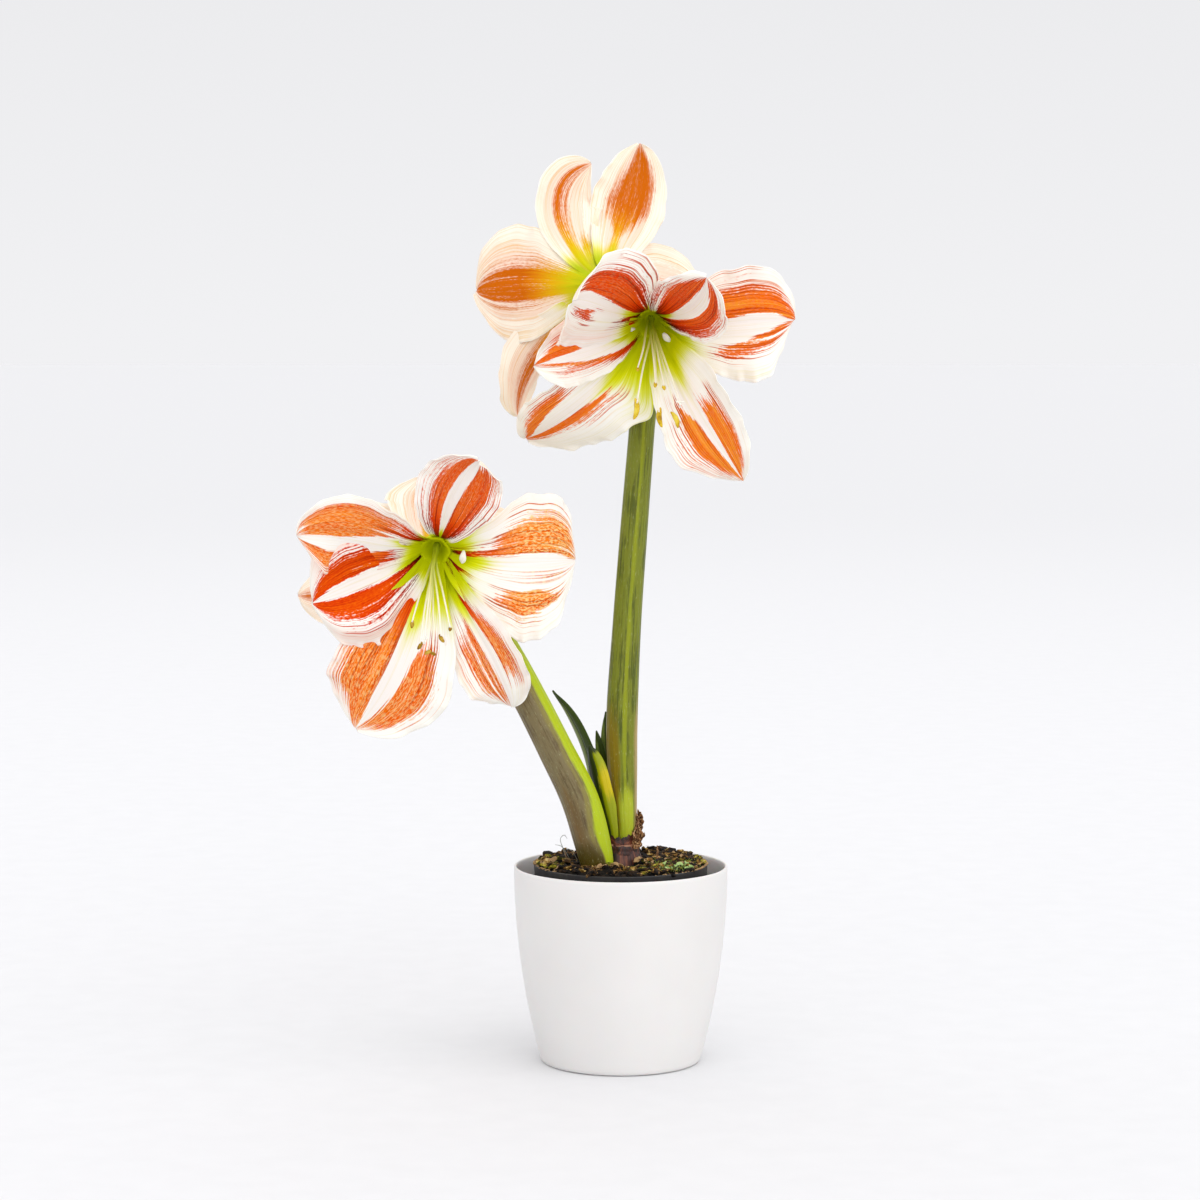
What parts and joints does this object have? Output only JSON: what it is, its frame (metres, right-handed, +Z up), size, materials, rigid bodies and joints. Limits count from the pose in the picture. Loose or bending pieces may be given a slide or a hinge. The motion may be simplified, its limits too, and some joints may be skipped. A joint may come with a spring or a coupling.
{
  "type": "amaryllis in a pot",
  "caption": "Flowering amaryllis bulb in a nursery pot inside a plain round cover pot, with an upright and a leaning stem topped by striped trumpet blooms, and short strap leaves.",
  "frame": {"origin": "centre of the cover pot's flat underside", "axes": "+Z up; -Y is the side that the front blooms face; +X to the right seen from the front, away from the leaning stem"},
  "size_m": [0.3289, 0.2715, 0.604],
  "materials": {
    "white_pot": "satin, smooth white",
    "black_pot": "satin, thin black",
    "compost": "rough dark peat and bark",
    "bulb_scale": "papery brown outer scales",
    "stem_green": "smooth waxy green stem",
    "leaf_green": "smooth glossy leaf",
    "dry_bract": "dry papery brown",
    "petal": "velvety white petal streaked with orange red",
    "stamen": "pale thread with a yellow anther"
  },
  "bodies": {
    "root": {"outer_pot": "white_pot", "inner_pot": "black_pot", "soil": "compost", "bulb": "bulb_scale", "stem_upright": "stem_green", "stem_leaning": "stem_green", "bracts_upright": "dry_bract", "bracts_leaning": "dry_bract", "leaf_1": "leaf_green", "leaf_2": "leaf_green", "leaf_3": "leaf_green", "leaf_4": "leaf_green", "petals_upper_front": "petal", "petals_upper_back": "petal", "petals_lower_front": "petal", "petals_lower_back": "petal", "stamens_upper_front": "stamen", "stamens_upper_back": "stamen", "stamens_lower_front": "stamen", "stamens_lower_back": "stamen"}
  },
  "joints": []
}
